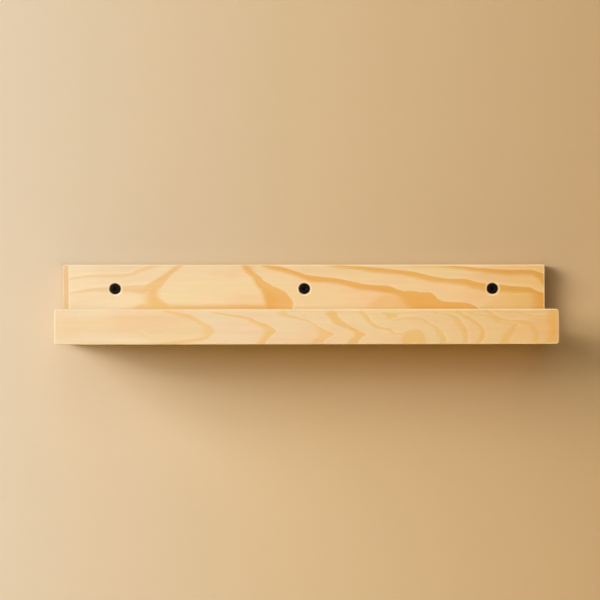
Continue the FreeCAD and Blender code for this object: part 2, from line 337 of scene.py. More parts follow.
def back_board_figure(figure):
    """The cathedral figure on the back board, as the photograph shows it."""
    # two pale bands that come in from the left end
    figure.level(
        0.45, soft=(1.6, 2.4),
        top=[(-225, 22.6), (-213, 24.8), (-200, 27), (-166, 27.8), (-156, 31.3), (-145, 35.2),
            (-130, 40)],
        bottom=[(-225, 22), (-213, 23), (-200, 24.6), (-166, 25.2), (-152, 29.5), (-138, 34),
            (-125, 40)],
    )
    figure.level(
        0.5, soft=(1.8, 3.5),
        top=[(-225, 9.6), (-208, 12.8), (-190, 15), (-160, 16.8), (-145, 17.5), (-132, 17)],
        bottom=[(-225, 8.2), (-208, 9.8), (-190, 11.5), (-160, 10.5), (-145, 8), (-134, 14)],
    )
    # their branch that climbs to the top edge, and the wedge that drops from it
    figure.steep(
        0.72, soft=(5, 3.4),
        left=[(-153, 11), (-148, 17), (-136, 24), (-122, 34), (-117, 38)],
        right=[(-157, 9), (-136, 14), (-129, 21.5), (-122.5, 28), (-113.5, 35), (-111, 38)],
    )
    figure.steep(
        0.85, soft=(14, 9),
        left=[(-148, -10), (-147.5, 2), (-146, 12), (-142, 18), (-120, 24)],
        right=[(-119, -10), (-123, -3), (-132, 2), (-136, 7), (-136, 14), (-134, 20), (-130, 24)],
    )
    # the warm strip along the bottom, in front of the shelf
    figure.level(
        0.78, soft=(5, 1),
        top=[(-175, -8), (-160, -4), (-148, 0), (-125, -1), (-95, -1.5), (-60, -1), (-20, -2)],
        bottom=[(-175, -12), (-20, -12)],
    )
    # the strong wedge left of the middle
    wedge_left = [(-35.5, -10), (-36.5, -3), (-37.5, 4), (-40, 11), (-44.5, 18), (-50, 25), (-57, 34),
        (-59, 38)]
    figure.steep(
        0.85, soft=(6.5, 1.8),
        left=wedge_left,
        right=[(-10.8, -10), (-11, -3), (-12, 3), (-15.8, 8), (-22.5, 13), (-31, 17), (-38, 22),
            (-45, 28), (-50.5, 34), (-52, 38)],
    )
    figure.steep(
        1.0, soft=(6.5, 13),
        left=wedge_left,
        right=[(-22, -10), (-22, 3), (-26, 10), (-33, 15), (-40, 21), (-47, 28), (-52.5, 38)],
    )
    # the long band that starts above the middle screw and ends in the patch on the right
    figure.level(
        1.0, soft=(0.9, 4.4),
        top=[(-40, 36), (-25, 34.6), (-15, 32.6), (-5, 29), (5, 26), (20, 24.4), (32, 23), (45, 20),
            (60, 17.5), (80, 15.8), (92, 11.5), (102, 10.4), (116, 10.2), (121, 7.5), (127, 2.8),
            (137, 1.2), (150, 0.6), (158, -1.5), (163, -6), (175, -12)],
        bottom=[(-40, 35), (-20, 29.5), (-8, 26), (5, 21), (20, 19.4), (35, 17.4), (50, 13.6),
            (65, 11.6), (80, 9), (94, 5), (112, 1), (140, -5), (165, -12), (175, -14)],
    )
    figure.steep(
        1.0, soft=(20, 1.6),
        left=[(84, 9), (87, 5), (91, 0), (95, -6), (97, -12)],
        right=[(112, 9.4), (125, 4), (133, 1.2), (152, 0), (159, -2.4), (164, -7), (172, -12)],
    )
    figure.level(
        0.42, soft=(11, 1),
        top=[(30, -12), (50, -8), (66, 3), (80, 9), (95, 8), (110, 0), (125, -12)],
        bottom=[(30, -14), (125, -14)],
    )
    # the band that starts at the top edge and passes the right screw
    figure.level(
        1.0, soft=(0.9, 4.6),
        top=[(20, 35.6), (45, 35), (70, 33), (90, 31), (105, 28.6), (120, 25), (135, 23.2), (150, 22.8),
            (160, 20), (170, 18.3), (184, 17.6), (197, 15.6), (211, 14.6), (218, 11), (228, 8)],
        bottom=[(20, 35.4), (45, 32.6), (70, 28.8), (90, 26.8), (105, 24), (120, 20.6), (135, 19.2),
            (150, 17), (160, 14), (172, 11), (190, 10.4), (209, 9.4), (228, 4)],
    )
    figure.steep(
        0.9, soft=(18, 1.6),
        left=[(209, 13), (211, 8), (213, 2), (213, -5), (211, -12)],
        right=[(214, 13.4), (219, 10.6), (224, 8), (232, 4), (234, -12)],
    )
    figure.level(
        0.25, soft=(7, 1),
        top=[(158, -12), (172, 0), (185, 7), (200, 8.5), (214, 8)],
        bottom=[(158, -14), (214, -14)],
    )
    # the band in the top right corner
    figure.level(
        1.0, soft=(0.9, 4.4),
        top=[(100, 35.4), (130, 35.2), (150, 34.4), (168, 32.8), (190, 31.4), (211, 31), (218, 29.4),
            (228, 24)],
        bottom=[(100, 35.4), (130, 34.2), (150, 31.6), (168, 28.8), (190, 27), (211, 26.4), (216, 24.8),
            (221, 21.5), (228, 16)],
    )


def rail_figure(figure):
    """The thin flames on the rail, whose tips point to the right."""
    figure.level(
        0.3, soft=(6, 6),
        top=[(-225, -12.5), (-190, -13), (-170, -10), (-150, -8.5), (-108, -10.5), (-90, -19)],
        bottom=[(-225, -25.5), (-190, -26), (-165, -27), (-130, -33), (-104, -32), (-90, -26)],
    )
    figure.steep(
        0.72, soft=(12, 4.5),
        left=[(-150, -38), (-128, -34), (-110, -32), (-98, -30), (-94, -27), (-94, -22), (-101, -17),
            (-109, -13), (-122, -9), (-130, -6)],
        right=[(-130, -38), (-104, -34), (-92, -32), (-85.5, -28), (-83.5, -24), (-86, -20),
            (-92, -16.5), (-100, -12), (-110, -8.6), (-120, -6)],
    )
    figure.steep(
        0.78, soft=(8, 2.2),
        left=[(-46, -37), (-43, -33), (-40, -28), (-38.5, -24), (-42, -20), (-49, -16.5), (-56, -13),
            (-70, -10.8), (-84, -8.4)],
        right=[(-39, -37), (-37, -33), (-32, -28), (-28, -24), (-33, -20), (-40, -17), (-47, -14.5),
            (-52, -12), (-70, -9), (-80, -7.4)],
    )
    figure.steep(
        0.66, soft=(7, 1.8),
        left=[(4, -37), (6, -32), (9.5, -28), (9.5, -24.5), (6, -20), (1, -16), (-10, -13.4),
            (-22, -11.4), (-26, -8)],
        right=[(13, -37), (16, -32), (19, -30), (23, -27), (17, -23.6), (10, -20.8), (5.5, -17.5),
            (0, -14), (-9, -11.4), (-17, -9), (-19, -7)],
    )
    figure.steep(
        0.9, soft=(4.5, 1.8),
        left=[(35.5, -37), (37, -33), (41.5, -29), (42, -26), (37.5, -23), (31.5, -20.6), (24.5, -17.6),
            (19.5, -13), (16.5, -8)],
        right=[(44, -37), (46, -33), (48.5, -30), (51.5, -27.4), (47, -24.6), (40, -20.8),
            (33.5, -16.6), (28.6, -12.4), (26.4, -8)],
    )
    figure.steep(
        0.7, soft=(3.0, 1.6),
        left=[(82, -27.6), (76, -26.4), (70, -23.6), (62, -21.8), (55.5, -18.8), (51.5, -14),
            (48.6, -10.6), (45, -7.6)],
        right=[(86, -27), (80, -26), (74, -22.6), (66, -20.4), (60, -18), (56.4, -14.4), (54, -11),
            (51, -7.6)],
    )
    figure.steep(
        0.85, soft=(5, 4),
        left=[(85, -38), (84.5, -31), (86, -27), (91, -24), (98, -22.8)],
        right=[(106, -38), (105, -31), (103, -26), (98, -23.6), (92, -22.6)],
    )
    figure.steep(
        0.7, soft=(4, 2.5),
        left=[(68, -14.6), (70, -13), (69, -10), (67, -8)],
        right=[(66, -14.6), (76, -13.4), (80, -11), (79, -8.6), (70, -7.6)],
    )
    figure.level(
        0.45, soft=(0.8, 1.6),
        top=[(74, -16), (82, -12.8), (91, -11.8), (100, -12.6), (106, -15.2), (112, -19), (116, -22),
            (120, -27)],
        bottom=[(74, -16), (82, -14.6), (91, -13.6), (100, -14.4), (106, -17.6), (110, -20.6),
            (115, -26), (118, -30)],
    )
    figure.steep(
        0.66, soft=(3, 2),
        left=[(118, -38), (117.5, -33), (116.5, -28), (114, -23.5), (110, -20), (106, -17)],
        right=[(123, -38), (123.6, -33), (123, -28.6), (119.4, -24), (113.6, -19.4), (105, -16.4)],
    )
    figure.steep(
        0.68, soft=(2.6, 1.4),
        left=[(138, -38), (138.4, -30), (137.4, -25), (135, -20), (131.6, -16), (127, -12), (121, -9.6),
            (112, -8.6)],
        right=[(143, -38), (143, -29), (142, -23.6), (139.4, -19), (136, -14), (131.6, -10.6),
            (124, -8.6), (116, -8)],
    )
    figure.steep(
        0.72, soft=(2.6, 1.4),
        left=[(149, -38), (152, -32), (154, -27), (153, -22), (148.6, -18.4), (143, -14.6),
            (137.6, -11), (131, -8)],
        right=[(151, -38), (155.6, -33), (158.8, -28), (158, -22.6), (154, -18.4), (148, -14),
            (143, -10.6), (137, -7.6)],
    )
    figure.steep(
        0.62, soft=(3, 1.6),
        left=[(186, -20), (180, -18.6), (172, -17.6), (166, -15), (160, -12), (152, -10.6),
            (142, -8.6)],
        right=[(188, -19), (181, -17.4), (174, -16.2), (168, -13.6), (162, -10.6), (155, -9),
            (148, -8)],
    )
    figure.steep(
        0.85, soft=(4, 3),
        left=[(171, -38), (173, -31.6), (176, -27), (180.6, -22.6), (184, -19)],
        right=[(176, -38), (180, -32), (184, -27), (185.6, -22), (186.4, -18.6)],
    )
    figure.level(
        0.8, soft=(0.8, 1.2),
        top=[(158, -5), (163, -7), (168, -9.8), (173, -13), (180, -14.4), (194, -14.9), (200, -17)],
        bottom=[(158, -6), (163, -11), (168, -14), (173, -15.4), (180, -15.9), (194, -16.2),
            (200, -17)],
    )
    figure.steep(
        0.7, soft=(4, 2.5),
        left=[(202, -38), (201, -30), (199.6, -24), (196, -19.6), (188, -16.6)],
        right=[(206, -38), (206.4, -30), (204.6, -23), (200, -18), (192, -15)],
    )
    figure.line(0.6, 0.9, [(188, -8), (195, -9.2), (202, -10.6), (212, -11)])
    figure.line(0.5, 0.6, [(172, -17.2), (178, -18), (186, -19)])
    figure.line(0.5, 0.6, [(-166, -12.2), (-156, -11.7), (-146, -12)])
    figure.line(0.6, 0.7, [(-135, -23.8), (-131, -24), (-126, -24.4)])
    figure.line(0.5, 0.8, [(-151, -25.4), (-143, -29), (-135, -31.4), (-115, -31.6), (-92, -30.6)])
    figure.line(0.5, 0.6, [(20, -7.4), (32, -7.7), (46, -7.6)])
    figure.line(0.55, 0.6, [(46, -9), (60, -9.4), (72, -9), (84, -8), (98, -7.8)])
    figure.line(0.6, 0.6, [(71, -26.6), (78, -27), (86, -26.4)])
    figure.line(0.5, 0.7, [(-37, -19.8), (-33, -21.8), (-30, -24.2)])
    figure.line(0.6, 0.8, [(-38, -23.6), (-33, -23.8), (-28, -23.6)])
    figure.line(0.45, 0.7, [(-162, -16.2), (-157, -16.4), (-152, -15.8)])
    figure.line(0.35, 0.8, [(-28, -7), (0, -6.8), (20, -6.9), (46, -7.2), (65, -7)])
    figure.line(0.35, 0.8, [(92, -7.3), (112, -7), (150, -7), (200, -7.4)])
    figure.steep(
        1.0, soft=(6, 1),
        left=[(213, -38), (214, -30), (215.4, -21), (214, -14), (216, -6)],
        right=[(229, -38), (229, -6)],
    )


# ---- Pine ----

# Patterns of the wood: how often each changes per millimetre, along the grain and across it
WANDER = (0.011, 0.05, 0.05)
RIPPLE = (0.06, 0.22, 0.22)
FIBRE = (0.035, 1.7, 1.7)
STREAK = (0.010, 0.32, 0.32)
BLOTCH = (0.022, 0.055, 0.055)
CANAL = (0.10, 2.6, 2.6)
SANDING = (0.09, 0.4, 0.4)
SEED_STEP = (131.0, 57.0, 83.0)  # how far a seed of 1 moves the patterns

# How far the grain strays along x, y and z, with the slow wander and with the ripple
WANDER_REACH = (90.0, 4.0, 5.0)
RIPPLE_REACH = (0.0, 1.0, 1.4)
DRAWN_RIPPLE = (2.2, 0.7)  # the same for the drawn figure, along x and z

# Shares of a ring's breadth over which it darkens and pales again
RING_RISE = (0.3, 0.9)
RING_FALL = (0.94, 1.0)
FAINTEST_RING = 0.55
SIDE_RINGS = 0.8  # how strong the rings are beside a drawn face
END_RINGS = 0.45

PALE_LINE = (255, 232, 196)
WARM_TINT = (255, 245, 239)
COOL_TINT = (250, 254, 241)
END_TINT = (222, 212, 202)
END_RING = (188, 136, 84)
BEVEL_TINT = (222, 228, 227)
BEVEL_LINE = (188, 140, 88)
SANDED_AND_LIT_EDGE = (255, 228, 184)
SCREW_RING_PALE = (255, 236, 200)

BEVEL_LINES = ((0.3, 0.15), (0.68, 0.16))  # place across the bevel, and width
BEVEL_LEAN = (36.0, -36.0, -0.09, 0.14)  # how far the lines lean, from top to bottom
BEVEL_WAVER = 0.5
BEVEL_LINE_STRENGTH = 0.6

PALE_EDGE_REACH = (0.9, 1.6)  # how far from an edge the wood is pale
PALE_EDGE_GROWTH = (0.8, 1.4)  # by how much that grows from the left end to the right
PALE_EDGE_AMOUNT = (0.12, 0.62)  # how pale it is at the left end and at the right: sanded wear, plus painted highlight that grows towards the right, where the edges face away from the lamps
BEVEL_EDGE_HIGHLIGHT = (0.4, 1.6)  # painted highlight: the bevel's outer edge is pale from the end to this far
RIGHT_END_HIGHLIGHT = (0.5, 1.5, 0.36, 0.0)  # painted highlight: the last of the right end is paler still
SCREW_RING_FADE = (6.2, 7.2)  # radius where the ring round a screw fades
SCREW_RING_AMOUNT = 0.65


def growth_rings(graph, place, pith, tilt, spacing):
    """Latewood of the rings round a pith that runs nearly along x, from 0 to 1."""
    x, y, z = place
    aside = graph.math("POWER", graph.math("SUBTRACT", y, pith[0]), 2.0)
    above = graph.math("POWER", graph.math("SUBTRACT", z, pith[1]), 2.0)
    radius = graph.math("SQRT", graph.total(aside, above))
    ring = graph.math("DIVIDE", graph.total(radius, graph.product(x, tilt)), spacing)
    phase = graph.math("FRACT", ring)
    number = graph.math("FLOOR", ring)
    own = graph.add("TexWhiteNoise", {"W": number}, noise_dimensions="1D").outputs[0]
    rise = graph.ease(phase, *RING_RISE)
    fall = graph.ease(phase, *RING_FALL, 1.0, 0.0)
    return graph.product(rise, fall, graph.scale(own, 0.0, 1.0, FAINTEST_RING, 1.0))


def bevel_lines(graph, across, z, wobble, bevel):
    """Two dark lines of latewood that waver down the bevel, from 0 to 1."""
    across = graph.math("DIVIDE", across, bevel)
    drift = graph.total(graph.scale(z, *BEVEL_LEAN), graph.product(wobble, BEVEL_WAVER))
    lines = []
    for middle, width in BEVEL_LINES:
        away = graph.away(across, graph.total(drift, middle))
        lines.append(graph.ease(away, 0.4 * width, width, 1.0, 0.0))
    return graph.largest(*lines)


def sanded_and_lit_edges(graph, board, place, along, waver, slanted, bevel):
    """How pale the edges of a board are, from 0 to 1: sanded wear, with a painted highlight that grows
    towards the right end.
    """
    x, y, z = place
    gaps = []
    for value, middle, half in zip(place, board.middle, board.half):
        gaps.append(graph.math("SUBTRACT", half, graph.away(value, middle)))
    end_gap, face_gap, side_gap = gaps
    near_end = end_gap
    if bevel:
        slant = graph.total(x, y, -(board.low[0] + board.low[1] + bevel))
        near_end = graph.smallest(end_gap, graph.product(slant, math.sqrt(0.5)))
    # an edge is where the second smallest of the three distances is small
    nearer = graph.smallest(near_end, face_gap)
    farther = graph.largest(near_end, face_gap)
    second = graph.largest(nearer, graph.smallest(farther, side_gap))
    reach = graph.scale(waver, *NOISE, *PALE_EDGE_REACH)
    reach = graph.product(reach, graph.scale(along, 0.0, 1.0, *PALE_EDGE_GROWTH))
    edge = graph.ease(graph.math("DIVIDE", second, reach), 0.25, 1.0, 1.0, 0.0)
    if bevel:
        bevel_highlight = graph.ease(end_gap, *BEVEL_EDGE_HIGHLIGHT, 1.0, 0.0)
        edge = graph.largest(edge, graph.product(slanted, bevel_highlight))
    right_highlight = graph.ease(graph.math("SUBTRACT", board.high[0], x), *RIGHT_END_HIGHLIGHT)
    amount = graph.total(graph.scale(along, 0.0, 1.0, *PALE_EDGE_AMOUNT), right_highlight)
    return graph.product(edge, amount)


def pale_screw_rings(graph, x, z, screws):
    """Pale rings round the screws, from 0 to 1."""
    gaps = []
    for screw_x, screw_z in screws:
        away = graph.vectors("DISTANCE", graph.vector(x, 0.0, z), (screw_x, 0.0, screw_z))
        gaps.append(away["Value"])
    return graph.invert(graph.ease(graph.smallest(*gaps), *SCREW_RING_FADE))


def pine(name, board, base, late, rings, draw=None, seed=0.0, screws=None, bevel=0.0, corner_shade=()):
    """Clear-finished pine.

    base and late are colours by place along the board in millimetres, rings says where
    the pith lies, draw draws the front face's figure, screws lists the screw places
    that have a pale ring round them, bevel is the width of the left end's bevel, and
    corner_shade lists from and to which height painted shade darkens the wood towards
    the shelf, and how far.
    """
    material, graph, shader = new_material(name)
    place, (x, y, z) = object_place(graph)
    normal_x, normal_y = surface_normal(graph)[:2]
    shifted = graph.vectors("ADD", place, [seed * step for step in SEED_STEP])[0]

    wander = graph.scale(graph.noise(shifted, WANDER, detail=3.0), 0.0, 1.0, -1.0, 1.0)
    ripple = graph.scale(graph.noise(shifted, RIPPLE), 0.0, 1.0, -1.0, 1.0)
    strayed = []
    for value, slow, quick in zip((x, y, z), WANDER_REACH, RIPPLE_REACH):
        stray = graph.total(graph.product(wander, slow), graph.product(ripple, quick))
        strayed.append(graph.total(value, stray))
    latewood = growth_rings(graph, strayed, **rings)
    fibre = graph.noise(shifted, FIBRE, detail=3.0, roughness=0.6)
    streak = graph.noise(shifted, STREAK)
    if draw:
        drawn_x = graph.total(x, graph.product(ripple, DRAWN_RIPPLE[0]))
        drawn_z = graph.total(z, graph.product(ripple, DRAWN_RIPPLE[1]))
        figure = Figure(graph, board, drawn_x, drawn_z, graph.scale(fibre, *NOISE, -1.0, 1.0))
        draw(figure)
        front = graph.ease(normal_y, -0.8, -0.95)
        front_latewood = graph.product(figure.latewood(), front)
        earlywood = graph.product(figure.earlywood(), front, graph.invert(front_latewood))
        latewood = graph.product(latewood, graph.invert(front), SIDE_RINGS)
        latewood = graph.total(latewood, front_latewood)

    along = graph.scale(x, *BOARD_SPAN)
    feather = graph.scale(fibre, *NOISE, 0.88, 1.06)
    shown_latewood = graph.math("MULTIPLY", latewood, feather, clamp=True)
    wood = graph.mix(shown_latewood, graph.by_place(x, base), graph.by_place(x, late))
    if draw:
        wood = graph.mix(graph.product(earlywood, 0.14), wood, colour(*PALE_LINE))

    # warmer and cooler blotches, fine and broad streaks, resin canals, and painted shade towards the
    # shelf
    blotch = graph.noise(shifted, BLOTCH)
    warm = graph.product(graph.ease(blotch, 0.35, 0.7), 0.8)
    wood = graph.mix(warm, wood, colour(*WARM_TINT), "MULTIPLY")
    cool = graph.product(graph.ease(blotch, 0.5, 0.25), 0.7)
    wood = graph.mix(cool, wood, colour(*COOL_TINT), "MULTIPLY")
    canal = graph.ease(graph.noise(shifted, CANAL, detail=1.0), 0.69, 0.77)
    fine = graph.scale(fibre, 0.25, 0.75, 0.975, 1.02)
    broad = graph.scale(streak, *NOISE, 0.98, 1.02)
    tone = graph.product(fine, broad, graph.scale(canal, 0.0, 1.0, 1.0, 0.94))
    # painted shade: the back board darkens towards the shelf and the rail's top, where less light
    # reaches
    for top, bottom, level in corner_shade:
        tone = graph.product(tone, graph.ease(z, top, bottom, 1.0, level))
    wood = graph.darken(wood, tone)

    # end grain drinks more finish
    end = graph.ease(graph.math("ABSOLUTE", normal_x), 0.35, 0.65)
    wood = graph.mix(end, wood, colour(*END_TINT), "MULTIPLY")
    rings_shown = graph.product(end, latewood, END_RINGS)
    slanted = None
    if bevel:
        slanted = graph.ease(graph.product(normal_x, normal_y), 0.2, 0.4)
        wood = graph.mix(slanted, wood, colour(*BEVEL_TINT), "MULTIPLY")
        rings_shown = graph.product(rings_shown, graph.invert(slanted))
        lines = bevel_lines(graph, graph.total(x, -board.low[0]), z, ripple, bevel)
        lines = graph.product(slanted, lines, BEVEL_LINE_STRENGTH)
        wood = graph.mix(lines, wood, colour(*BEVEL_LINE))
    wood = graph.mix(rings_shown, wood, colour(*END_RING))

    waver = graph.noise(shifted, SANDING)
    # sanded wear along the edges, and painted highlight on the edges that face away from the lamps
    pale_edges = sanded_and_lit_edges(graph, board, (x, y, z), along, waver, slanted, bevel)
    wood = graph.mix(pale_edges, wood, colour(*SANDED_AND_LIT_EDGE))
    # a pale ring on the front face round each screw
    if screws:
        ring = graph.product(pale_screw_rings(graph, x, z, screws), front, SCREW_RING_AMOUNT)
        wood = graph.mix(ring, wood, colour(*SCREW_RING_PALE))

    rough = graph.scale(fibre, *NOISE, 0.46, 0.56)
    rough = graph.total(rough, graph.product(latewood, -0.06), graph.product(end, 0.12))
    raised = (graph.product(fibre, 0.8), graph.product(latewood, 0.35), graph.product(canal, -0.8))
    relief = bump(graph, graph.total(*raised), 0.35, 0.00012)
    look = {"Base Color": wood, "Roughness": rough, "Normal": relief, "Specular IOR Level": 0.35}
    graph.fill(shader, look)
    return material


# ---- Dowels and screws ----

BEECH_FIBRE = (2.2, 0.12, 2.2)
BEECH_FLECK = (3.4, 0.55, 3.4)
COAT_CLOUD = (0.55, 0.55, 0.55)
COAT_GRAIN = (6.0, 6.0, 6.0)


def beech(name):
    """Plain beech with short dark flecks, for the fluted dowels."""
    material, graph, shader = new_material(name)
    place = object_place(graph)[0]
    fibre = graph.noise(place, BEECH_FIBRE, detail=3.0)
    fleck = graph.ease(graph.noise(place, BEECH_FLECK, detail=1.0), 0.6, 0.7)
    wood = graph.mix(graph.ease(fibre, *NOISE), colour(222, 186, 146), colour(205, 164, 122))
    wood = graph.mix(graph.product(fleck, 0.7), wood, colour(160, 112, 76))
    rough = graph.scale(fibre, *NOISE, 0.6, 0.75)
    relief = bump(graph, fibre, 0.4, 0.00015)
    graph.fill(shader, {"Base Color": wood, "Roughness": rough, "Normal": relief})
    return material


def coated_metal(name, light, dark, metallic, rough, wear, shine):
    """Screw metal under a thin coat, with the coat rubbed thinner here and there."""
    material, graph, shader = new_material(name)
    place = object_place(graph)[0]
    cloud = graph.noise(place, COAT_CLOUD, detail=4.0, roughness=0.6)
    worn = graph.product(graph.ease(cloud, 0.5, 0.72), wear)
    look = {
        "Base Color": graph.mix(worn, colour(*dark), colour(*light)),
        "Roughness": graph.scale(cloud, *NOISE, rough + 0.08, rough - 0.06),
        "Normal": bump(graph, graph.noise(place, COAT_GRAIN), 0.15, 0.00004),
        "Metallic": metallic,
        "Specular IOR Level": shine,
    }
    graph.fill(shader, look)
    return material


RECESS_OCTANT = (0.0, 7.0, 14.036, 18.5, 24.0, 31.0, 38.0)
RECESS_STEPS = ((0.30, 1.0), (0.62, 0.9))  # shares of the recess's outline and of its depth
RECESS_RIM = ((0.93, 0.0, 0.16), (1.0, 0.0, 0.05), (1.0, 0.07, 0.0))  # share, growth, depth
RECESS_FLOOR = 1.05  # the middle of the recess's floor, as a share of its depth
HEAD_FLAT = 0.72  # a ring on the head's flat face, as a share of its radius
HEAD_EDGE = ((0.22, 0.0), (0.06, 0.05), (0.0, 0.16))  # inward from the head's rim, and depth
RIM_CHAMFER = 0.1
NECK = ((0.35, -0.35), (0.06, 0.3), (0.0, 0.8))  # out from the shank, and past the cone's end
SHANK_STEP = 2.5
SHANK_STOP = 1.5  # the shank's last ring comes where less than this is left of it
THREAD_LEAD = 0.4  # how far before the thread that ring lies
THREAD_STEPS = 12  # rings in one turn of the thread
RIDGE_HALF = 0.3  # half the breadth of the ridge, as a share of the pitch
RUN_IN = 0.8  # turns over which the thread rises
CORE_TIP = 0.8  # the core's cone as a share of the tip's
TIP_BACK = 0.02
SHARP_ANGLE = math.radians(38)


def recess_angles():
    """Angles round the head, in degrees, that include the corners of the cross recess."""
    angles = []
    for quarter in range(4):
        rising = list(RECESS_OCTANT) + [45.0]
        falling = [90.0 - angle for angle in reversed(RECESS_OCTANT[1:])]
        angles += [quarter * 90.0 + angle for angle in rising + falling]
    return [math.radians(angle) for angle in angles]


def recess_radius(angle, span, arm):
    """Distance from the middle to the outline of a cross recess, in one direction."""
    across = max(abs(math.cos(angle)), 1e-6)
    up = max(abs(math.sin(angle)), 1e-6)
    level_arm = min(span / 2 / across, arm / 2 / up)
    upright_arm = min(arm / 2 / across, span / 2 / up)
    return max(level_arm, upright_arm)


def join_rings(bm, first, second):
    """Faces between two rings of the same count."""
    count = len(first)
    for index in range(count):
        following = (index + 1) % count
        corners = (first[index], first[following], second[following], second[index])
        bm.faces.new(corners)


def screw_mesh(name, size, turn):
    """A countersunk screw along +Y with a cross recess and a helical thread, in metres.

    size gives millimetres: head, rim, shank, thread, core, pitch, smooth (where the
    thread starts), length, tip, point, span, arm and depth. turn is the turn of the
    recess in degrees.
    """
    bm = bmesh.new()
    angles = recess_angles()
    start = math.radians(turn)

    def ring(radius_at, y):
        made = []
        for angle in angles:
            radius = radius_at(angle)
            turned = angle + start
            place = (radius * math.cos(turned), y, radius * math.sin(turned))
            made.append(bm.verts.new(Vector(place) * MM))
        return made

    def flat(radius, y):
        return ring(lambda angle: radius, y)

    def cross(share, growth, y):
        span, arm = size["span"], size["arm"]
        return ring(lambda angle: recess_radius(angle, span, arm) * share + growth, y)

    head = size["head"] / 2
    shank = size["shank"] / 2
    depth = size["depth"]
    rings = [cross(share, 0.0, depth * deep) for share, deep in RECESS_STEPS]
    rings += [cross(*step) for step in RECESS_RIM]
    rings.append(flat(head * HEAD_FLAT, 0.0))
    rings += [flat(head - inward, y) for inward, y in HEAD_EDGE]
    rings.append(flat(head, size["rim"]))
    rings.append(flat(head - RIM_CHAMFER, size["rim"] + RIM_CHAMFER))
    cone_end = size["rim"] + head - shank
    rings += [flat(shank + out, cone_end + past) for out, past in NECK]
    y = cone_end + NECK[-1][1]
    smooth = size["smooth"]
    while y < smooth - SHANK_STOP:
        y = min(y + SHANK_STEP, smooth - THREAD_LEAD)
        rings.append(flat(shank, y))

    core = size["core"] / 2
    crest = size["thread"] / 2
    pitch = size["pitch"]
    length = size["length"]
    step = pitch / THREAD_STEPS
    count = int((length - smooth) / step)

    def thread_radius(angle, y):
        """Radius of the threaded part, inside the cone of the tip."""
        left = max(length - y, 0.0)
        tip_share = min(left / size["tip"], 1.0)
        outer = size["point"] + (crest - size["point"]) * tip_share
        core_share = min(left / (size["tip"] * CORE_TIP), 1.0)
        inner = min(size["point"] + (core - size["point"]) * core_share, outer)
        phase = (y - smooth) / pitch - (angle / math.tau)
        ridge = max(0.0, 1.0 - abs(phase - round(phase)) / RIDGE_HALF)
        run_in = min(max((y - smooth) / (pitch * RUN_IN), 0.0), 1.0)
        return inner + (outer - inner) * ridge * run_in

    for index in range(1, count):
        y = smooth + index * step
        rings.append(ring(lambda angle: thread_radius(angle, y), y))
    rings.append(flat(size["point"] * CORE_TIP, length - TIP_BACK))

    for first, second in zip(rings, rings[1:]):
        join_rings(bm, first, second)
    for end, y in ((rings[0], depth * RECESS_FLOOR), (rings[-1], length)):
        middle = bm.verts.new((0.0, y * MM, 0.0))
        for index in range(len(end)):
            bm.faces.new((end[index], end[(index + 1) % len(end)], middle))
    bmesh.ops.recalc_face_normals(bm, faces=bm.faces)
    for face in bm.faces:
        face.smooth = True
    for edge in bm.edges:
        if edge.calc_face_angle(0.0) > SHARP_ANGLE:
            edge.smooth = False
    mesh = bpy.data.meshes.new(name)
    bm.to_mesh(mesh)
    bm.free()
    return mesh


def put_screw(node, name, size, material, turn, backwards):
    """Builds a screw in the place of its CAD node."""
    low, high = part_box(node)
    mesh = screw_mesh(name, size, turn)
    middle_x = (low.x + high.x) / 2
    middle_z = (low.z + high.z) / 2
    if backwards:
        mesh.transform(Matrix.Rotation(math.pi, 4, "Z"))
        mesh.transform(Matrix.Translation((middle_x, high.y, middle_z)))
    else:
        mesh.transform(Matrix.Translation((middle_x, low.y, middle_z)))
    mesh.materials.append(material)
    screw = bpy.data.objects.new(name, mesh)
    bpy.context.scene.collection.objects.link(screw)
    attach(screw, "root")
    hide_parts(node)


WALL_SCREW = dict(
    head=10.0, rim=0.3, shank=3.6, thread=4.96, core=3.1, point=0.28, pitch=2.4,
    smooth=14.5, length=50.0, tip=6.0, span=4.8, arm=1.2, depth=2.2,
)
SHELF_SCREW = dict(
    head=8.0, rim=0.3, shank=2.8, thread=3.96, core=2.5, point=0.28, pitch=1.9,
    smooth=14.5, length=40.0, tip=5.0, span=4.0, arm=1.0, depth=1.8,
)

BLACK_LOOK = {"light": (32, 17, 9), "dark": (9, 4, 2), "metallic": 0.0, "rough": 0.5}
ZINC_LOOK = {"light": (214, 190, 132), "dark": (186, 152, 88), "metallic": 1.0, "rough": 0.34}
black_metal = coated_metal("black_screw_metal", **BLACK_LOOK, wear=0.6, shine=0.16)
zinc_metal = coated_metal("plated_screw_metal", **ZINC_LOOK, wear=1.0, shine=0.5)

WALL_SCREW_TURNS = {"left": 24.0, "middle": -9.0, "right": 37.0}
SHELF_SCREW_TURNS = {"left": 12.0, "middle": 61.0, "right": -30.0}
screw_places = []
for side, turn in WALL_SCREW_TURNS.items():
    node = f"wall_screw_{side}"
    put_screw(node, f"black_screw_{side}", WALL_SCREW, black_metal, turn, False)
    low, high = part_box(node)
    screw_places.append(((low.x + high.x) / 2 / MM, (low.z + high.z) / 2 / MM))
for side, turn in SHELF_SCREW_TURNS.items():
    node = f"shelf_screw_{side}"
    put_screw(node, f"plated_screw_{side}", SHELF_SCREW, zinc_metal, turn, True)

# ---- Materials on the CAD nodes ----


def dress(node, material):
    """Gives a CAD node its material."""
    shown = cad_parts[node]
    if not shown.material_slots:
        shown.data.materials.append(material)
    for slot in shown.material_slots:
        slot.material = material


